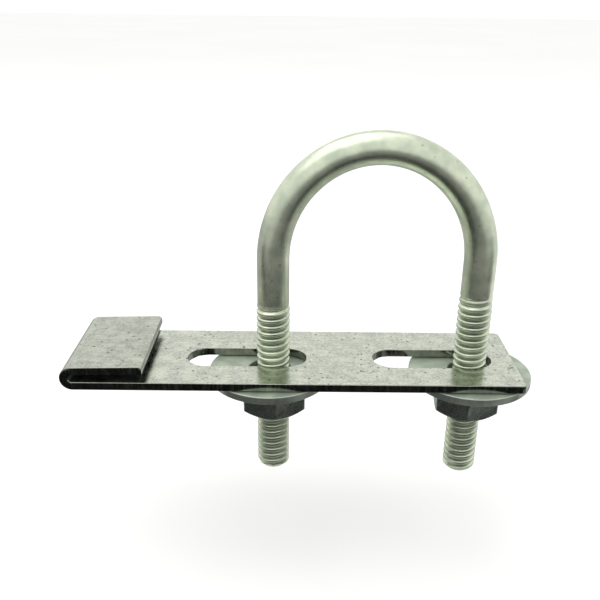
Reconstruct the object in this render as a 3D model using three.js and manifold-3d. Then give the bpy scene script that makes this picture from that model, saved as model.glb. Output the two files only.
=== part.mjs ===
// Pipe clamp made of a U-bolt on a slotted steel plate whose left end is folded over into a hook.
// Six separate pieces: the plate, the U-bolt, two penny washers and two hexagon nuts.
//
// Units are millimetres, +Z is up. The origin is on the plate's top face, midway between the two
// slots. +X runs along the plate away from its hook, and +Y across the plate.

import * as THREE from 'three';
import { mergeVertices } from 'three/addons/utils/BufferGeometryUtils.js';
import Module from 'manifold-3d';

// ---------------------------------------------------------------- driving dimensions

const plate = {
  thickness: 1.6,
  width: 23.3,
  rightEndX: 34.7,
  cornerRadius: 0.8,
  hookLeftX: -52.75,
};

const hook = {
  gapAtBend: 1.44,
  flangeEndX: -37.3,
  flangeSlope: THREE.MathUtils.degToRad(1.2),
  endRounding: 0.7,
};

const slot = {
  length: 23.65,
  width: 7.7,
  bridge: 13.2,        // steel left between the two slots
  offsetY: -0.65,      // the slots are punched slightly off the plate's middle line
};

const bolt = {
  centreX: 6.34,       // where the U-bolt has been slid to along the slots
  centreY: -1.15,
  legSpacing: 39.1,
  shankRadius: 3.08,
  threadRadius: 3.25,
  archBaseZ: 21.0,     // the legs turn into the arch at this height
  archHeight: 21.2,    // from there to the crown of the rod's centre line
  legEndZ: { left: -24.1, right: -24.7 },
  threadTopZ: { left: 11.9, right: 14.5 },
  threadRunout: 0.6,
  endChamfer: 0.8,
};

const washer = {
  outerRadius: 12.0,
  boreRadius: 4.2,
  thickness: 1.5,
  edgeBreak: 0.2,
  play: { left: [-0.7, -0.45], right: [0.05, -0.45] },   // where each lies within its clearance
};

const nut = {
  acrossFlats: 12.2,
  height: 6.9,
  boreRadius: 3.5,
  chamferAngle: THREE.MathUtils.degToRad(30),
  cornerTurn: { left: 4.8, right: -5.4 },   // degrees from -Y towards +X of one corner
};

const seatGap = 0.2;   // between the plate, the washers and the nuts
const roundSides = 32;
const archSteps = 56;

const legX = {
  left: bolt.centreX - bolt.legSpacing / 2,
  right: bolt.centreX + bolt.legSpacing / 2,
};
const washerTopZ = -plate.thickness - seatGap;
const nutTopZ = washerTopZ - washer.thickness - seatGap;

// ---------------------------------------------------------------- materials

const finish = {
  plate: { color: 0xc9cbbf, roughness: 0.38, metalness: 0.85 },
  rod: { color: 0xb9bfa9, roughness: 0.42, metalness: 0.85 },
  washer: { color: 0xaab5a5, roughness: 0.40, metalness: 0.85 },
  nut: { color: 0x6f776f, roughness: 0.45, metalness: 0.85 },
};

// ---------------------------------------------------------------- solids

const wasm = await Module();
wasm.setup();

function solidOf(geometry) {
  const bare = geometry.clone();
  bare.deleteAttribute('normal');
  bare.deleteAttribute('uv');
  const merged = mergeVertices(bare, 1e-4);
  const mesh = new wasm.Mesh({
    numProp: 3,
    vertProperties: new Float32Array(merged.attributes.position.array),
    triVerts: new Uint32Array(merged.index.array),
  });
  return new wasm.Manifold(mesh);
}

function geometryOf(solid) {
  const mesh = solid.getMesh();
  const geometry = new THREE.BufferGeometry();
  geometry.setAttribute('position', new THREE.BufferAttribute(mesh.vertProperties, 3));
  geometry.setIndex(new THREE.BufferAttribute(mesh.triVerts, 1));
  geometry.computeVertexNormals();
  return geometry;
}

function namedMesh(name, geometry, look) {
  const mesh = new THREE.Mesh(geometry, new THREE.MeshStandardMaterial(look));
  mesh.name = name;
  return mesh;
}

// A flat outline in X and Y, raised from lowZ to highZ.
function raised(outline, lowZ, highZ) {
  const geometry = new THREE.ExtrudeGeometry(outline, {
    depth: highZ - lowZ,
    bevelEnabled: false,
    curveSegments: roundSides / 2,
  });
  geometry.translate(0, 0, lowZ);
  return geometry;
}

// A profile of [radius, z] points turned about the Z axis.
function turned(profile) {
  const points = profile.map(([radius, z]) => new THREE.Vector2(radius, z));
  const geometry = new THREE.LatheGeometry(points, roundSides);
  geometry.rotateX(Math.PI / 2);
  return geometry;
}

// ---------------------------------------------------------------- hook plate

// The plate seen from its front edge: X to the right, Z up. The strip runs flat, turns half a
// circle upwards at its left end and comes back over itself as a slightly opened flange.
function foldedStripOutline() {
  const outerRadius = plate.thickness + hook.gapAtBend / 2;
  const innerRadius = hook.gapAtBend / 2;
  const bendX = plate.hookLeftX + outerRadius;
  const bendZ = innerRadius;
  const slope = hook.flangeSlope;
  const flangeLength = (hook.flangeEndX - bendX) / Math.cos(slope);
  const quarter = Math.PI / 2;
  const along = (radius, distance) => [
    bendX - radius * Math.sin(slope) + distance * Math.cos(slope),
    bendZ + radius * Math.cos(slope) + distance * Math.sin(slope),
  ];

  const outline = new THREE.Shape();
  outline.moveTo(plate.rightEndX, 0);
  outline.lineTo(bendX, 0);
  outline.absarc(bendX, bendZ, innerRadius, -quarter, quarter + slope, true);
  outline.lineTo(...along(innerRadius, flangeLength));
  outline.lineTo(...along(outerRadius - hook.endRounding, flangeLength));
  outline.quadraticCurveTo(
    ...along(outerRadius, flangeLength),
    ...along(outerRadius, flangeLength - hook.endRounding),
  );
  outline.absarc(bendX, bendZ, outerRadius, quarter + slope, 3 * quarter, false);
  outline.lineTo(plate.rightEndX, -plate.thickness);
  outline.closePath();
  return outline;
}

// The plate seen from above, square at the hook and with its two right corners rounded.
function planOutline() {
  const half = plate.width / 2;
  const radius = plate.cornerRadius;
  const left = plate.hookLeftX - 1;
  const right = plate.rightEndX;
  const outline = new THREE.Shape();
  outline.moveTo(left, -half);
  outline.lineTo(right - radius, -half);
  outline.absarc(right - radius, -half + radius, radius, -Math.PI / 2, 0, false);
  outline.lineTo(right, half - radius);
  outline.absarc(right - radius, half - radius, radius, 0, Math.PI / 2, false);
  outline.lineTo(left, half);
  outline.closePath();
  return outline;
}

// A slot with round ends, lying along X on the right (side 1) or the left (side -1).
function slotOutline(side) {
  const radius = slot.width / 2;
  const middleX = side * (slot.bridge + slot.length) / 2;
  const straight = slot.length / 2 - radius;
  const outline = new THREE.Shape();
  outline.absarc(middleX + straight, slot.offsetY, radius, -Math.PI / 2, Math.PI / 2, false);
  outline.absarc(middleX - straight, slot.offsetY, radius, Math.PI / 2, Math.PI * 1.5, false);
  outline.closePath();
  return outline;
}

function hookPlate() {
  const strip = new THREE.ExtrudeGeometry(foldedStripOutline(), {
    depth: plate.width + 2,
    bevelEnabled: false,
    curveSegments: roundSides / 2,
  });
  strip.rotateX(Math.PI / 2);
  strip.translate(0, plate.width / 2 + 1, 0);
  const clearAbove = 10;
  const plan = raised(planOutline(), -clearAbove, clearAbove);
  let body = solidOf(strip).intersect(solidOf(plan));
  for (const side of [-1, 1]) {
    const cutter = raised(slotOutline(side), -plate.thickness - 1, hook.gapAtBend / 2);
    body = body.subtract(solidOf(cutter));
  }
  return namedMesh('hook_plate', geometryOf(body), finish.plate);
}

// ---------------------------------------------------------------- U-bolt

// Half an ellipse from the left leg's top over the crown to the right leg's top.
class ArchCurve extends THREE.Curve {
  getPoint(t, target = new THREE.Vector3()) {
    const angle = Math.PI * (1 - t);
    return target.set(
      bolt.centreX + bolt.legSpacing / 2 * Math.cos(angle),
      bolt.centreY,
      bolt.archBaseZ + bolt.archHeight * Math.sin(angle),
    );
  }
}

function rodCentreLine() {
  const at = (x, z) => new THREE.Vector3(x, bolt.centreY, z);
  const overlap = 2;
  const path = new THREE.CurvePath();
  path.add(new THREE.LineCurve3(
    at(legX.left, bolt.threadTopZ.left - overlap),
    at(legX.left, bolt.archBaseZ),
  ));
  path.add(new ArchCurve());
  path.add(new THREE.LineCurve3(
    at(legX.right, bolt.archBaseZ),
    at(legX.right, bolt.threadTopZ.right - overlap),
  ));
  return path;
}

function bentShank() {
  const section = new THREE.Shape();
  section.absarc(0, 0, bolt.shankRadius, 0, 2 * Math.PI, false);
  return new THREE.ExtrudeGeometry(section, {
    steps: archSteps,
    extrudePath: rodCentreLine(),
    curveSegments: roundSides / 2,
  });
}

// One leg's threaded stretch as a plain rod of the thread's outer diameter.
function threadedLeg(side) {
  const topZ = bolt.threadTopZ[side];
  const endZ = bolt.legEndZ[side];
  const rod = turned([
    [0, endZ],
    [bolt.threadRadius - bolt.endChamfer, endZ],
    [bolt.threadRadius, endZ + bolt.endChamfer],
    [bolt.threadRadius, topZ],
    [bolt.shankRadius - 0.05, topZ + bolt.threadRunout],
    [0, topZ + bolt.threadRunout],
  ]);
  rod.translate(legX[side], bolt.centreY, 0);
  return rod;
}

function uBolt() {
  const body = solidOf(bentShank())
    .add(solidOf(threadedLeg('left')))
    .add(solidOf(threadedLeg('right')));
  return namedMesh('u_bolt', geometryOf(body), finish.rod);
}

// ---------------------------------------------------------------- washers and nuts

function pennyWasher(side) {
  const outer = washer.outerRadius;
  const inner = washer.boreRadius;
  const edge = washer.edgeBreak;
  const top = washerTopZ;
  const bottom = washerTopZ - washer.thickness;
  const ring = turned([
    [inner, bottom],
    [outer - edge, bottom],
    [outer, bottom + edge],
    [outer, top - edge],
    [outer - edge, top],
    [inner, top],
    [inner, bottom],
  ]);
  const [playX, playY] = washer.play[side];
  ring.translate(legX[side] + playX, bolt.centreY + playY, 0);
  return namedMesh(`washer_${side}`, ring, finish.washer);
}

// A double cone that breaks the hexagon's corners at both faces.
function nutChamfer(top, bottom) {
  const cornerRadius = nut.acrossFlats / Math.sqrt(3);
  const faceRadius = nut.acrossFlats / 2 - 0.1;
  const outside = cornerRadius + 0.5;
  const drop = (outside - faceRadius) * Math.tan(nut.chamferAngle);
  return turned([
    [0, bottom],
    [faceRadius, bottom],
    [outside, bottom + drop],
    [outside, top - drop],
    [faceRadius, top],
    [0, top],
  ]);
}

function hexagonNut(side) {
  const top = nutTopZ;
  const bottom = nutTopZ - nut.height;
  const cornerRadius = nut.acrossFlats / Math.sqrt(3);
  const outline = new THREE.Shape();
  for (let corner = 0; corner < 6; corner += 1) {
    const degrees = -90 + nut.cornerTurn[side] + corner * 60;
    const angle = THREE.MathUtils.degToRad(degrees);
    const x = cornerRadius * Math.cos(angle);
    const y = cornerRadius * Math.sin(angle);
    if (corner === 0) outline.moveTo(x, y);
    else outline.lineTo(x, y);
  }
  outline.closePath();
  const bore = turned([
    [0, bottom - 1],
    [nut.boreRadius, bottom - 1],
    [nut.boreRadius, top + 1],
    [0, top + 1],
  ]);
  const body = solidOf(raised(outline, bottom, top))
    .intersect(solidOf(nutChamfer(top, bottom)))
    .subtract(solidOf(bore));
  const geometry = geometryOf(body);
  geometry.translate(legX[side], bolt.centreY, 0);
  return namedMesh(`nut_${side}`, geometry, finish.nut);
}

// ---------------------------------------------------------------- the whole clamp

const group = new THREE.Group();
group.add(hookPlate());
group.add(uBolt());
for (const side of ['left', 'right']) {
  group.add(pennyWasher(side));
  group.add(hexagonNut(side));
}

export default group;
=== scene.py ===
"""Pipe clamp: a threaded U-bolt on a slotted steel plate folded into a hook, with washers and nuts.

Shapes are worked out in millimetres in the frame's own axes and turned into metres when a mesh is
made: +X runs along the plate away from its hook, +Y across it and +Z up to the U-bolt's arch.
"""

import math

import bmesh
import bpy
import numpy as np
from mathutils import Matrix, Vector
from mathutils.geometry import delaunay_2d_cdt


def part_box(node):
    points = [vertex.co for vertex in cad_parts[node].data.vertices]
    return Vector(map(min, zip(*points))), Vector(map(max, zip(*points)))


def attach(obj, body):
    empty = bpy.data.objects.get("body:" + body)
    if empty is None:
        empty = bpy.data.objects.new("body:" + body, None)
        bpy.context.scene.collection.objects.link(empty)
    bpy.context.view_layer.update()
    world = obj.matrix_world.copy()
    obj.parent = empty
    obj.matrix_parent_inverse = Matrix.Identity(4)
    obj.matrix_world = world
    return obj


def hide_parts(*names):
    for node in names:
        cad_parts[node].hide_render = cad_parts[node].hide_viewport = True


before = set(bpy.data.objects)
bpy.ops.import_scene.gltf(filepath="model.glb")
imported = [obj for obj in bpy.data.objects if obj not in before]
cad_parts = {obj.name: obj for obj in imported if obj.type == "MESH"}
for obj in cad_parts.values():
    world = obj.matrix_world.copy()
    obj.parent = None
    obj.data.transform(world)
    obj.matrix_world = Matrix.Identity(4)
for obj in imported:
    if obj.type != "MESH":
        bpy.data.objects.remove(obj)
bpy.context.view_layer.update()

MM = 0.001


def box_mm(node):
    low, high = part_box(node)
    return np.array(low) / MM, np.array(high) / MM


# ---------------------------------------------------------------- sizes, in millimetres

plate_low, plate_high = box_mm("hook_plate")
SHEET = 1.6
HOOK_GAP = 1.44
FLANGE_END_X = -37.3
FLANGE_SLOPE = math.radians(1.2)
FLANGE_END_ROUNDING = 0.7
PLATE_CORNER = 0.8
SHEARED_EDGE = 0.13
SLOT_LENGTH = 23.65
SLOT_WIDTH = 7.7
SLOT_BRIDGE = 13.2
SLOT_Y = -0.65

BEND_INNER = HOOK_GAP / 2
BEND_MIDDLE = BEND_INNER + SHEET / 2
BEND_X = plate_low[0] + BEND_INNER + SHEET
BEND_ANGLE = math.pi - FLANGE_SLOPE
FLANGE_LENGTH = (FLANGE_END_X - BEND_X) / math.cos(FLANGE_SLOPE)
UNFOLDED_END = BEND_X - BEND_MIDDLE * BEND_ANGLE - FLANGE_LENGTH

rod_low, rod_high = box_mm("u_bolt")
PITCH = 1.375
THREAD_RADIUS = 3.25
THREAD_DEPTH = 0.62
CREST = THREAD_RADIUS - 0.01
SHANK = 3.07
CAD_SHANK = 3.08
LEG_X = {"left": rod_low[0] + THREAD_RADIUS, "right": rod_high[0] - THREAD_RADIUS}
LEG_Y = (rod_low[1] + rod_high[1]) / 2
LEFT_LEG_SHORTER = 0.6
LEG_END = {"left": rod_low[2] + LEFT_LEG_SHORTER, "right": rod_low[2]}
THREAD_TOP = {"left": 11.9, "right": 14.5}
RUNOUT = {"left": 1.7, "right": 3.6}
RUNOUT_ABOVE = 0.5
GROOVE_EDGE = 0.93
CREST_EDGE = 0.30
ROUNDED_SHARE = 0.65
ARCH_BASE = 21.0
ARCH_HEIGHT = rod_high[2] - CAD_SHANK - ARCH_BASE
ROD_CHAMFER = 0.8
GROOVE = "groove"

NUT_FLATS = 12.2
NUT_BORE_GAP = 0.07
NUT_CORNER_TURN = {"left": 4.8, "right": -5.4}
NUT_CORNER_ROUND = 0.45
NUT_EDGE = 0.07
NUT_COUNTERSINK = 0.15
WASHER_BORE = 4.2
WASHER_ROLL = 0.2
WASHER_BURR = 0.10

SIDES = ("left", "right")


# ---------------------------------------------------------------- mesh helpers


def make_object(name, points, faces, materials, face_materials=None, sharp_degrees=40):
    """A closed mesh from points in millimetres, smooth apart from edges sharper than the angle."""
    mesh = bpy.data.meshes.new(name)
    mesh.from_pydata([tuple(p) for p in np.asarray(points) * MM], [], faces)
    for material in materials:
        mesh.materials.append(material)
    if face_materials is not None:
        mesh.polygons.foreach_set("material_index", face_materials)
    shaped = bmesh.new()
    shaped.from_mesh(mesh)
    bmesh.ops.recalc_face_normals(shaped, faces=shaped.faces)
    shaped.to_mesh(mesh)
    shaped.free()
    mesh.shade_smooth()
    mesh.set_sharp_from_angle(angle=math.radians(sharp_degrees))
    piece = bpy.data.objects.new(name, mesh)
    bpy.context.scene.collection.objects.link(piece)
    weighted = piece.modifiers.new("Weighted normals", "WEIGHTED_NORMAL")
    weighted.keep_sharp = True
    return piece


def band(first, second):
    """Quads between two rings of point numbers."""
    count = len(first)
    return [
        (first[i], first[(i + 1) % count], second[(i + 1) % count], second[i])
        for i in range(count)
    ]


def ring_numbers(rings, sides):
    return [[ring * sides + side for side in range(sides)] for ring in range(rings)]


def loop_of_rings(rings):
    """Points and faces of a body whose rings lead back to the first one, such as a washer."""
    rings = np.asarray(rings)
    numbers = ring_numbers(rings.shape[0], rings.shape[1])
    faces = []
    for first, second in zip(numbers, numbers[1:] + numbers[:1]):
        faces += band(first, second)
    return rings.reshape(-1, 3), faces


def tube_of_rings(rings, start, end):
    """Points and faces of a swept body closed by a centre point at each end."""
    rings = np.asarray(rings)
    numbers = ring_numbers(rings.shape[0], rings.shape[1])
    points = np.vstack([rings.reshape(-1, 3), [start], [end]])
    faces = []
    for first, second in zip(numbers, numbers[1:]):
        faces += band(first, second)
    for ring, centre in ((numbers[0], len(points) - 2), (numbers[-1], len(points) - 1)):
        faces += [(ring[i], ring[(i + 1) % len(ring)], centre) for i in range(len(ring))]
    return points, faces


# ---------------------------------------------------------------- material helpers


class Finish:
    """A Principled material whose nodes are added and joined by short calls."""

    def __init__(self, name):
        self.material = bpy.data.materials.new(name)
        self.material.use_nodes = True
        self.tree = self.material.node_tree
        self.shader = self.tree.nodes["Principled BSDF"]
        self.place = self.tree.nodes.new("ShaderNodeTexCoord").outputs["Object"]

    def join(self, value, socket):
        if isinstance(value, bpy.types.NodeSocket):
            self.tree.links.new(value, socket)
        else:
            socket.default_value = value

    def stretched(self, scale):
        node = self.tree.nodes.new("ShaderNodeMapping")
        node.inputs["Scale"].default_value = scale
        self.join(self.place, node.inputs["Vector"])
        return node.outputs["Vector"]

    def noise(self, per_mm, detail=3.0, rough=0.55, stretch=(1, 1, 1)):
        node = self.tree.nodes.new("ShaderNodeTexNoise")
        self.join(self.stretched(stretch), node.inputs["Vector"])
        node.inputs["Scale"].default_value = per_mm / MM
        node.inputs["Detail"].default_value = detail
        node.inputs["Roughness"].default_value = rough
        return node.outputs["Fac"]

    def cells(self, per_mm):
        node = self.tree.nodes.new("ShaderNodeTexVoronoi")
        self.join(self.place, node.inputs["Vector"])
        node.inputs["Scale"].default_value = per_mm / MM
        return node.outputs["Distance"]

    def attribute(self, name):
        node = self.tree.nodes.new("ShaderNodeAttribute")
        node.attribute_name = name
        return node.outputs["Fac"]

    def spread(self, value, low, high, to_low=0.0, to_high=1.0):
        node = self.tree.nodes.new("ShaderNodeMapRange")
        node.interpolation_type = "SMOOTHSTEP"
        self.join(value, node.inputs["Value"])
        node.inputs["From Min"].default_value = low
        node.inputs["From Max"].default_value = high
        node.inputs["To Min"].default_value = to_low
        node.inputs["To Max"].default_value = to_high
        return node.outputs["Result"]

    def maths(self, operation, first, second):
        node = self.tree.nodes.new("ShaderNodeMath")
        node.operation = operation
        self.join(first, node.inputs[0])
        self.join(second, node.inputs[1])
        return node.outputs["Value"]

    def mix(self, share, first, second):
        node = self.tree.nodes.new("ShaderNodeMix")
        node.data_type = "RGBA"
        self.join(share, node.inputs["Factor"])
        self.join(first, node.inputs[6])
        self.join(second, node.inputs[7])
        return node.outputs[2]

    def bump(self, height, strength, depth_mm, below=None):
        node = self.tree.nodes.new("ShaderNodeBump")
        node.inputs["Strength"].default_value = strength
        node.inputs["Distance"].default_value = depth_mm * MM
        self.join(height, node.inputs["Height"])
        if below is not None:
            self.join(below, node.inputs["Normal"])
        return node.outputs["Normal"]

    def done(self, colour, rough, normal=None, metallic=1.0):
        self.join(colour, self.shader.inputs["Base Color"])
        self.join(rough, self.shader.inputs["Roughness"])
        if normal is not None:
            self.join(normal, self.shader.inputs["Normal"])
        self.shader.inputs["Metallic"].default_value = metallic
        return self.material


def rgba(red, green, blue):
    return (red, green, blue, 1.0)


def sheet_zinc(name, shade):
    """Zinc-coated strip: cloudy grain, faint rolling streaks along X and small dark specks.

    A shade below 1 darkens every colour for the bent end and flange: painted shade.
    """

    def tone(red, green, blue):
        return rgba(red * shade, green * shade, blue * shade)

    f = Finish(name)
    clouds = f.spread(f.noise(0.33, detail=5, rough=0.65), 0.38, 0.64)
    grain = f.spread(f.noise(1.7, detail=4, rough=0.75), 0.40, 0.62)
    streaks = f.spread(f.noise(1.3, detail=4, stretch=(0.05, 1, 1)), 0.42, 0.66)
    specks = f.spread(f.cells(0.75), 0.12, 0.25, 1.0, 0.0)
    chosen = f.spread(f.noise(0.35, detail=3), 0.46, 0.54)
    colour = f.mix(clouds, tone(0.37, 0.41, 0.35), tone(0.58, 0.605, 0.505))
    colour = f.mix(f.maths("MULTIPLY", grain, 0.62), colour, tone(0.77, 0.79, 0.68))
    colour = f.mix(f.maths("MULTIPLY", streaks, 0.40), colour, tone(0.40, 0.435, 0.385))
    speckled = f.maths("MULTIPLY", f.maths("MULTIPLY", specks, chosen), 0.90)
    colour = f.mix(speckled, colour, tone(0.09, 0.10, 0.09))
    rough = f.maths("ADD", f.maths("MULTIPLY", clouds, 0.06), 0.19)
    fine = f.bump(grain, 0.06, 0.008)
    normal = f.bump(f.noise(0.16, detail=2), 0.20, 0.22, below=fine)
    return f.done(colour, rough, normal)


def fold_painted_shade():
    """The strip's faces inside the fold, painted near-black as shade, with mottled roughness and
    bump.
    """
    f = Finish("zinc_inside_fold_painted_shade")
    # The near-black colour here is painted shade for the inside of the fold; the noise only varies
    # it.
    shade_mottle = f.spread(f.noise(0.6, detail=5), 0.35, 0.70)
    colour = f.mix(shade_mottle, rgba(0.04, 0.045, 0.04), rgba(0.10, 0.105, 0.095))
    rough = f.maths("ADD", f.maths("MULTIPLY", shade_mottle, 0.2), 0.35)
    return f.done(colour, rough, f.bump(shade_mottle, 0.2, 0.02), metallic=0.8)


def sheared_zinc():
    """The strip's cut edges: smoother and darker, with fine marks up and down the cut."""
    f = Finish("zinc_sheared")
    marks = f.spread(f.noise(2.6, detail=3, stretch=(1, 1, 0.12)), 0.35, 0.70)
    patches = f.spread(f.noise(0.5, detail=4), 0.40, 0.65)
    colour = f.mix(marks, rgba(0.26, 0.28, 0.24), rgba(0.40, 0.42, 0.36))
    colour = f.mix(f.maths("MULTIPLY", patches, 0.4), colour, rgba(0.16, 0.17, 0.15))
    rough = f.maths("ADD", f.maths("MULTIPLY", marks, 0.10), 0.12)
    return f.done(colour, rough, f.bump(marks, 0.10, 0.008))


def rod_zinc():
    """Plated rod: satin, faintly yellow-green, softly clouded, with painted shade in its grooves.
    """
    f = Finish("zinc_rod")
    clouds = f.spread(f.noise(0.30, detail=5, rough=0.6), 0.35, 0.68)
    grain = f.spread(f.noise(2.4, detail=4, rough=0.7), 0.36, 0.66)
    marks = f.spread(f.cells(0.45), 0.05, 0.15, 1.0, 0.0)
    colour = f.mix(clouds, rgba(0.52, 0.585, 0.46), rgba(0.71, 0.765, 0.60))
    colour = f.mix(f.maths("MULTIPLY", grain, 0.25), colour, rgba(0.44, 0.50, 0.40))
    colour = f.mix(f.maths("MULTIPLY", marks, 0.45), colour, rgba(0.22, 0.25, 0.22))
    # The colour darkens toward the bottom of each thread groove: painted shade.
    groove_shade = f.maths("MULTIPLY", f.attribute(GROOVE), 0.62)
    colour = f.mix(groove_shade, colour, rgba(0.10, 0.125, 0.075))
    rough = f.maths("ADD", f.maths("MULTIPLY", grain, 0.08), 0.29)
    fine = f.bump(grain, 0.10, 0.008)
    normal = f.bump(f.noise(0.22, detail=3), 0.30, 0.15, below=fine)
    return f.done(colour, rough, normal)


def washer_zinc():
    """Stamped steel under zinc: dull grey-green faces with soft clouding."""
    f = Finish("zinc_washer")
    clouds = f.spread(f.noise(0.40, detail=5, rough=0.6), 0.35, 0.68)
    grain = f.spread(f.noise(3.4, detail=4, rough=0.7), 0.30, 0.70)
    colour = f.mix(clouds, rgba(0.30, 0.35, 0.29), rgba(0.44, 0.50, 0.39))
    colour = f.mix(f.maths("MULTIPLY", grain, 0.3), colour, rgba(0.33, 0.39, 0.33))
    rough = f.maths("ADD", f.maths("MULTIPLY", grain, 0.12), 0.32)
    fine = f.bump(grain, 0.3, 0.015)
    normal = f.bump(f.noise(0.35, detail=3), 0.35, 0.12, below=fine)
    return f.done(colour, rough, normal, metallic=0.40)


def rim_zinc():
    """The washers' stamped rim: even satin, with faint marks up and down the cut."""
    f = Finish("zinc_rim")
    marks = f.spread(f.noise(1.2, detail=5, stretch=(1, 1, 0.4)), 0.30, 0.75)
    colour = f.mix(marks, rgba(0.39, 0.44, 0.38), rgba(0.46, 0.51, 0.44))
    rough = f.maths("ADD", f.maths("MULTIPLY", marks, 0.05), 0.29)
    return f.done(colour, rough, f.bump(marks, 0.08, 0.01), metallic=0.9)


def nut_zinc():
    """Plated nut: darker satin grey, with worn lighter clouds and fine grain."""
    f = Finish("zinc_nut")
    clouds = f.spread(f.noise(0.45, detail=5, rough=0.6), 0.38, 0.66)
    grain = f.spread(f.noise(3.0, detail=4, rough=0.7), 0.30, 0.72)
    colour = f.mix(clouds, rgba(0.25, 0.285, 0.25), rgba(0.37, 0.41, 0.355))
    colour = f.mix(f.maths("MULTIPLY", grain, 0.35), colour, rgba(0.20, 0.23, 0.21))
    rough = f.maths("ADD", f.maths("MULTIPLY", grain, 0.12), 0.20)
    fine = f.bump(grain, 0.12, 0.010)
    normal = f.bump(f.noise(0.4, detail=3), 0.22, 0.10, below=fine)
    return f.done(colour, rough, normal, metallic=0.93)


# ---------------------------------------------------------------- hook plate


def folded(u, y, depth):
    """Where a point of the flat strip goes once it is folded: depth 0 is the plate's top face."""
    along = BEND_X - u
    if along <= 0:
        return (u, y, depth)
    radius = BEND_INNER - depth
    angle = min(along / BEND_MIDDLE, BEND_ANGLE)
    beyond = along - BEND_MIDDLE * angle
    return (
        BEND_X - radius * math.sin(angle) + beyond * math.cos(FLANGE_SLOPE),
        y,
        BEND_INNER - radius * math.cos(angle) + beyond * math.sin(FLANGE_SLOPE),
    )


def lower_face(u):
    """Depth of the strip's lower face, which rises in a quarter round at the flange's free end."""
    inset = FLANGE_END_ROUNDING - (u - UNFOLDED_END)
    if inset <= 0:
        return -SHEET
    return -SHEET + FLANGE_END_ROUNDING - math.sqrt(max(FLANGE_END_ROUNDING**2 - inset**2, 0))


def strip_stations():
    """Places along the unfolded strip where its outline has points, up to the flat plate."""
    rounding = [UNFOLDED_END + share * FLANGE_END_ROUNDING for share in (0, 0.3, 0.6, 1)]
    flange_start = BEND_X - BEND_MIDDLE * BEND_ANGLE
    bend = list(np.linspace(flange_start, BEND_X, 33))
    return rounding + bend + [FLANGE_END_X - 0.4]


def arc_points(centre, radius, start, end, steps, inward):
    """Points on an arc, each with the unit normal that leads into the steel."""
    points = []
    for angle in np.radians(np.linspace(start, end, steps)):
        out = np.array([math.cos(angle), math.sin(angle)])
        points.append((np.array(centre) + radius * out, [inward * out]))
    return points


def strip_outline():
    """The unfolded strip's outline, anticlockwise from its front corner at the flange's end."""
    low_y, high_y = plate_low[1], plate_high[1]
    right = plate_high[0]
    across = np.array([0.0, 1.0])
    ahead = np.array([1.0, 0.0])
    stations = strip_stations()
    front = [(np.array([u, low_y]), [across]) for u in stations]
    back = [(np.array([u, high_y]), [-across]) for u in reversed(stations)]
    front[0] = (front[0][0], [across, ahead])
    back[-1] = (back[-1][0], [-across, ahead])
    corner_x = right - PLATE_CORNER
    first = arc_points((corner_x, low_y + PLATE_CORNER), PLATE_CORNER, -90, 0, 8, -1)
    second = arc_points((corner_x, high_y - PLATE_CORNER), PLATE_CORNER, 0, 90, 8, -1)
    return front + first + second + back


def slot_outline(side):
    """A slot's outline, anticlockwise: side -1 is the hook's side and 1 is the other."""
    radius = SLOT_WIDTH / 2
    middle = side * (SLOT_BRIDGE + SLOT_LENGTH) / 2
    straight = SLOT_LENGTH / 2 - radius
    right = arc_points((middle + straight, SLOT_Y), radius, -90, 90, 25, 1)
    left = arc_points((middle - straight, SLOT_Y), radius, 90, 270, 25, 1)
    return right + left


def edge_profile():
    """How the cut edge turns from the top face to the lower one: inset, nearer face, and drop."""
    quarter = [
        (SHEARED_EDGE * (1 - math.sin(a)), SHEARED_EDGE * (1 - math.cos(a)))
        for a in np.radians(np.linspace(0, 90, 4))
    ]
    top = [(inset, "top", drop) for inset, drop in quarter]
    low = [(inset, "low", drop) for inset, drop in reversed(quarter)]
    return top + low


def hook_plate():
    loops = [strip_outline(), slot_outline(-1), slot_outline(1)]
    """The folded strip, with one material each for its flat, cut, inner and bent faces."""
    flat, cut, inner, bent = range(4)
    points = []
    faces = []
    kinds = []
    top_loops = []
    low_loops = []
    for outline in loops:
        rings = []
        for inset, face, drop in edge_profile():
            numbers = []
            for place, normals in outline:
                u, y = place + sum(normals) * inset
                depth = -drop if face == "top" else lower_face(u) + drop
                numbers.append(len(points))
                points.append((u, y, depth))
            rings.append(numbers)
        for first, second in zip(rings, rings[1:]):
            faces += band(first, second)
            kinds += [cut] * len(first)
        top_loops.append(rings[0])
        low_loops.append(rings[-1])
    stations = len(strip_stations())
    for loop, kind in ((top_loops, inner), (low_loops, bent)):
        outer = loop[0]
        for i in range(stations - 1):
            faces.append((outer[i], outer[i + 1], outer[-i - 2], outer[-i - 1]))
            kinds.append(kind)
        flat_part = outer[stations - 1:len(outer) - stations + 1]
        flat_faces = filled(points, [flat_part] + loop[1:])
        faces += flat_faces
        kinds += [flat] * len(flat_faces)
    placed = [folded(*point) for point in points]
    # The fold's inner faces get a near-black material: painted shade.
    materials = [
        # The bent faces use the sheet material darkened by 0.83: painted shade.
        sheet_zinc("zinc_sheet", 1.0), sheared_zinc(), fold_painted_shade(), sheet_zinc("zinc_bent_painted_shade", 0.83)
    ]
    return make_object("hook_plate_detail", placed, faces, materials, kinds, 50)


def filled(points, loops):
    """Triangles between a convex outer loop and the slots inside it."""
    numbers = [n for loop in loops for n in loop]
    flat = [Vector(points[n][:2]) for n in numbers]
    edges = []
    start = 0
    for loop in loops:
        count = len(loop)
        edges += [(start + i, start + (i + 1) % count) for i in range(count)]
        start += count
    triangles = delaunay_2d_cdt(flat, edges, [], 0, 1e-6)[2]
    kept = []
    for triangle in triangles:
        middle = sum((flat[i] for i in triangle), Vector((0, 0))) / 3
        if not in_a_slot(middle):
            kept.append(tuple(numbers[i] for i in triangle))
    return kept


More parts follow.
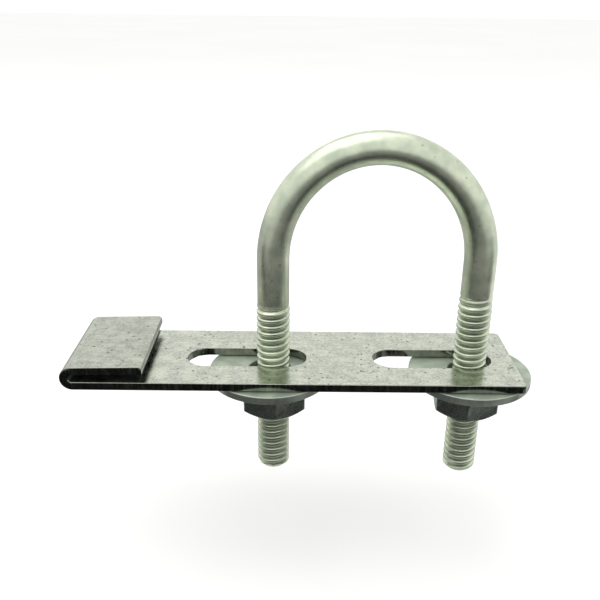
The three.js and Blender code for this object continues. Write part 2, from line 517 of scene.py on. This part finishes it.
def in_a_slot(place):
    radius = SLOT_WIDTH / 2
    centre = (SLOT_BRIDGE + SLOT_LENGTH) / 2
    straight = SLOT_LENGTH / 2 - radius
    along = max(abs(abs(place.x) - centre) - straight, 0)
    return math.hypot(along, place.y - SLOT_Y) < radius


# ---------------------------------------------------------------- U-bolt


def thread_share(z, angle):
    """1 on the crest of the right-hand thread and 0 in its groove.

    The two edges are measured from the crest's middle, in half pitches.
    """
    turn = z / PITCH - angle / (2 * math.pi)
    away = 2 * np.abs(turn - np.round(turn))
    flank = np.clip((GROOVE_EDGE - away) / (GROOVE_EDGE - CREST_EDGE), 0, 1)
    rounded = flank * flank * (3 - 2 * flank)
    return (1 - ROUNDED_SHARE) * flank + ROUNDED_SHARE * rounded


def leg_radius(side, z, angle):
    """The leg's radius: threaded with a run-out at the top and a chamfer at the end."""
    below_top = THREAD_TOP[side] + RUNOUT_ABOVE - z
    share = float(np.clip(below_top / RUNOUT[side], 0, 1)) ** 1.3
    crest = SHANK + (CREST - SHANK) * share
    radius = crest - THREAD_DEPTH * share * (1 - thread_share(z, angle))
    chamfered = CREST - ROD_CHAMFER + (z - LEG_END[side])
    return np.minimum(radius, chamfered)


def leg_heights(side):
    """Heights of the leg's rings from its end up to the arch: close together on the thread."""
    step = PITCH / 14
    past_thread = 0.6
    threads = np.arange(LEG_END[side], THREAD_TOP[side] + past_thread, step)
    shank = np.linspace(threads[-1] + past_thread, ARCH_BASE, 6, endpoint=False)
    return np.concatenate([threads, shank])


def leg_rings(side, angles):
    rings = []
    for z in leg_heights(side):
        radius = leg_radius(side, z, angles)
        x = LEG_X[side] + radius * np.cos(angles)
        y = LEG_Y + radius * np.sin(angles)
        rings.append(np.stack([x, y, np.full_like(x, z)], axis=1))
    return rings


def arch_rings(sides):
    """Rings over the half-elliptical arch, starting at the left leg."""
    across = (LEG_X["right"] - LEG_X["left"]) / 2
    middle = (LEG_X["right"] + LEG_X["left"]) / 2
    turn = np.linspace(0, 2 * math.pi, sides, endpoint=False)
    rings = []
    for angle in np.linspace(math.pi, 0, 97):
        centre = np.array([
            middle + across * math.cos(angle), LEG_Y, ARCH_BASE + ARCH_HEIGHT * math.sin(angle)
        ])
        inward = -np.array([ARCH_HEIGHT * math.cos(angle), 0, across * math.sin(angle)])
        inward /= np.linalg.norm(inward)
        side = np.array([0.0, 1.0, 0.0])
        rings.append(centre + SHANK * (
            np.cos(turn)[:, None] * inward + np.sin(turn)[:, None] * side
        ))
    return rings


def groove_shares(points):
    """How deep each point lies in the thread: 0 outside it and 1 at the bottom of a groove, which
    sets the grooves' painted shade.
    """
    from_legs = [np.hypot(points[:, 0] - LEG_X[side], points[:, 1] - LEG_Y) for side in SIDES]
    shade_starts = SHANK - 0.08
    shade_full = SHANK - 0.38
    depth = shade_starts - np.min(from_legs, axis=0)
    share = np.clip(depth / (shade_starts - shade_full), 0, 1)
    z = points[:, 2]
    threaded = (z < ARCH_BASE) & (z > LEG_END["left"] + ROD_CHAMFER)
    return np.where(threaded, share, 0.0)


def u_bolt():
    sides = 64
    turn = np.linspace(0, 2 * math.pi, sides, endpoint=False)
    left = leg_rings("left", turn)
    right = leg_rings("right", math.pi - turn)
    rings = left + arch_rings(sides) + right[::-1]
    ends = [np.array([LEG_X[side], LEG_Y, LEG_END[side]]) for side in SIDES]
    points, faces = tube_of_rings(rings, ends[0], ends[1])
    piece = make_object("u_bolt_detail", points, faces, [rod_zinc()], sharp_degrees=75)
    shares = piece.data.attributes.new(GROOVE, "FLOAT", "POINT")
    shares.data.foreach_set("value", groove_shares(points))
    return piece


# ---------------------------------------------------------------- washers and nuts


def washer(side, materials):
    """A stamped washer: rolled over at the top edge, a sharper edge below."""
    low, high = box_mm(f"washer_{side}")
    centre = (low + high) / 2
    outer = (high[0] - low[0]) / 2
    top, bottom = high[2], low[2]
    profile = [
        (WASHER_BORE + WASHER_BURR, bottom),
        (outer - WASHER_BURR, bottom),
        (outer, bottom + WASHER_BURR),
    ]
    for angle in np.radians(np.linspace(0, 90, 6)):
        inward = WASHER_ROLL * (1 - math.cos(angle))
        down = WASHER_ROLL * (1 - math.sin(angle))
        profile.append((outer - inward, top - down))
    profile += [(WASHER_BORE + 0.25, top), (WASHER_BORE + 0.08, top - 0.08)]
    profile += [(WASHER_BORE, top - 0.25), (WASHER_BORE, bottom + WASHER_BURR)]
    turn = np.linspace(0, 2 * math.pi, 128, endpoint=False)
    rings = []
    for radius, z in profile:
        x = centre[0] + radius * np.cos(turn)
        y = centre[1] + radius * np.sin(turn)
        rings.append(np.stack([x, y, np.full_like(x, z)], axis=1))
    points, faces = loop_of_rings(rings)
    rim_bands = range(1, 5)
    kinds = [int(ring in rim_bands) for ring in range(len(rings)) for _ in turn]
    return make_object(f"washer_{side}_detail", points, faces, materials, kinds, 50)


def nut_rim(side):
    """The hexagon's outline as angle and radius, with small rounds at its six corners."""
    corner = NUT_FLATS / math.sqrt(3)
    round_centre = corner - NUT_CORNER_ROUND / math.cos(math.radians(30))
    apothem = NUT_FLATS / 2
    flat_half = math.atan2(round_centre * math.sin(math.radians(30)), apothem)
    angles = []
    radii = []
    for k in range(6):
        base = math.radians(-90 + NUT_CORNER_TURN[side] + 60 * k)
        for swing in np.radians(np.linspace(-30, 30, 5)):
            x = round_centre + NUT_CORNER_ROUND * math.cos(swing)
            y = NUT_CORNER_ROUND * math.sin(swing)
            angles.append(base + math.atan2(y, x))
            radii.append(math.hypot(x, y))
        middle = base + math.radians(30)
        for share in np.linspace(-1, 1, 11)[1:-1]:
            angle = middle + share * flat_half
            angles.append(angle)
            radii.append(apothem / math.cos(angle - middle))
    return np.array(angles), np.array(radii)


def nut(side, material):
    """A hexagon nut: chamfered on both faces, countersunk and threaded to match the leg."""
    low, high = box_mm(f"nut_{side}")
    top, bottom = high[2], low[2]
    centre = np.array([LEG_X[side], LEG_Y])
    angle, rim = nut_rim(side)
    face = np.full_like(rim, NUT_FLATS / 2 - 0.1)
    slope = math.tan(math.radians(30))
    drop = (rim - face) * slope
    soft = NUT_EDGE
    sink = CREST + NUT_BORE_GAP + NUT_COUNTERSINK

    def bore(z):
        thread = CREST + NUT_BORE_GAP - THREAD_DEPTH * (1 - thread_share(z, angle))
        from_face = min(top - z, z - bottom)
        return np.maximum(thread, sink - from_face / slope)

    heights = np.linspace(top, bottom, 75)
    ring_list = [
        (face - 0.8, top), (face - soft, top),
        (face + soft, top - soft * slope), (rim - soft, top - drop + soft * slope),
        (rim, top - drop - soft), (rim, (top + bottom) / 2), (rim, bottom + drop + soft),
        (rim - soft, bottom + drop - soft * slope), (face + soft, bottom + soft * slope),
        (face - soft, bottom), (face - 0.8, bottom),
    ]
    ring_list += [(bore(z), z) for z in heights[::-1]]
    rings = []
    for radius, z in ring_list:
        x = centre[0] + radius * np.cos(angle)
        y = centre[1] + radius * np.sin(angle)
        rings.append(np.stack([x, y, np.broadcast_to(z, x.shape)], axis=1))
    points, faces = loop_of_rings(rings)
    return make_object(f"nut_{side}_detail", points, faces, [material], sharp_degrees=55)


# ---------------------------------------------------------------- the pieces on their bodies

plate_piece = hook_plate()
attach(plate_piece, "plate")
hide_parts("hook_plate")

bolt_piece = u_bolt()
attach(bolt_piece, "u_bolt")
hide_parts("u_bolt")

washer_materials = [washer_zinc(), rim_zinc()]
nut_material = nut_zinc()
for side in SIDES:
    washer_piece = washer(side, washer_materials)
    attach(washer_piece, "washers")
    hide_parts(f"washer_{side}")
    nut_piece = nut(side, nut_material)
    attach(nut_piece, f"nut_{side}")
    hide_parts(f"nut_{side}")


# ---------------------------------------------------------------- floor, cards and light


def flat_square(name, low, high, z, material):
    mesh = bpy.data.meshes.new(name)
    corners = [(low[0], low[1]), (high[0], low[1]), (high[0], high[1]), (low[0], high[1])]
    mesh.from_pydata([(x * MM, y * MM, z * MM) for x, y in corners], [], [(0, 1, 2, 3)])
    mesh.materials.append(material)
    card = bpy.data.objects.new(name, mesh)
    bpy.context.scene.collection.objects.link(card)
    return card


def floor_material():
    f = Finish("pale_floor")
    tone = f.spread(f.noise(0.004, detail=2), 0.3, 0.7)
    colour = f.mix(tone, rgba(0.93, 0.93, 0.925), rgba(0.95, 0.95, 0.945))
    f.shader.inputs["Specular IOR Level"].default_value = 0.0
    return f.done(colour, 0.9, metallic=0.0)


def glow_material(name, level):
    material = bpy.data.materials.new(name)
    material.use_nodes = True
    tree = material.node_tree
    tree.nodes.clear()
    glow = tree.nodes.new("ShaderNodeEmission")
    glow.inputs["Color"].default_value = rgba(level, level, level)
    out = tree.nodes.new("ShaderNodeOutputMaterial")
    tree.links.new(glow.outputs["Emission"], out.inputs["Surface"])
    return material


def reflection_card(name, low, high, z, level):
    """A plain card below the part that shows only in reflections; level is its brightness."""
    card = flat_square(name, low, high, z, glow_material(name, level))
    card.visible_camera = False
    card.visible_diffuse = False
    card.visible_shadow = False
    card.visible_transmission = False
    card.visible_volume_scatter = False
    return card


# The floor lies just below the legs' ends at the lowest pose of bolt_draw.
BOLT_DRAW = 14.0
FLOOR_Z = rod_low[2] - BOLT_DRAW - 0.3
CARD_Z = rod_low[2] + 0.38
FAR = 3000
flat_square("floor", (-FAR, -FAR), (FAR, FAR), FLOOR_Z, floor_material())
reflection_card("wide_card", (-FAR, -FAR), (FAR, FAR), CARD_Z, 0.52)
reflection_card("front_card", (-110, -400), (120, -90), CARD_Z + 0.1, 0.20)
reflection_card("near_card", (-300, -90), (220, -6.0), CARD_Z + 0.2, 0.008)
reflection_card("side_card", (12, -38), (300, -19), CARD_Z + 0.3, 0.34)
reflection_card("right_card", (85, -60), (FAR, FAR), CARD_Z + 0.1, 0.95)


def area_light(name, place, target, size, power):
    data = bpy.data.lights.new(name, "AREA")
    data.shape = "RECTANGLE"
    data.size = size[0] * MM
    data.size_y = size[1] * MM
    data.energy = power
    light = bpy.data.objects.new(name, data)
    bpy.context.scene.collection.objects.link(light)
    light.location = Vector(place) * MM
    toward = Vector(target) * MM - light.location
    light.rotation_euler = toward.to_track_quat("-Z", "Y").to_euler()


area_light("top_light", (-150, 60, 520), (0, 0, 0), (700, 560), 1.4)

world = bpy.data.worlds.new("studio")
world.use_nodes = True
sky = world.node_tree.nodes["Background"]
sky.inputs["Color"].default_value = rgba(1.0, 1.0, 0.99)
sky.inputs["Strength"].default_value = 1.03
bpy.context.scene.world = world
bpy.context.scene.view_settings.view_transform = "Standard"

# ---------------------------------------------------------------- camera

CAMERA_PLACE = (-8.977, -133.640, 68.437)
CAMERA_DOWN = math.radians(22.820)
CAMERA_YAW = math.radians(0.401)
CAMERA_ROLL = math.radians(0.730)
FOCAL_PIXELS = 745.4
IMAGE_PIXELS = 600
SENSOR = 36.0


def camera():
    data = bpy.data.cameras.new("camera")
    data.sensor_width = SENSOR
    data.lens = FOCAL_PIXELS * SENSOR / IMAGE_PIXELS
    data.clip_start = 0.01
    data.clip_end = 20
    ahead = Vector((
        math.sin(CAMERA_YAW) * math.cos(CAMERA_DOWN),
        math.cos(CAMERA_YAW) * math.cos(CAMERA_DOWN),
        -math.sin(CAMERA_DOWN),
    ))
    level = Vector((math.cos(CAMERA_YAW), -math.sin(CAMERA_YAW), 0))
    upright = level.cross(ahead)
    right = math.cos(CAMERA_ROLL) * level + math.sin(CAMERA_ROLL) * upright
    up = -math.sin(CAMERA_ROLL) * level + math.cos(CAMERA_ROLL) * upright
    turn = Matrix((right, up, -ahead)).transposed().to_4x4()
    view = bpy.data.objects.new("camera", data)
    bpy.context.scene.collection.objects.link(view)
    view.matrix_world = Matrix.Translation(Vector(CAMERA_PLACE) * MM) @ turn
    bpy.context.scene.camera = view


camera()
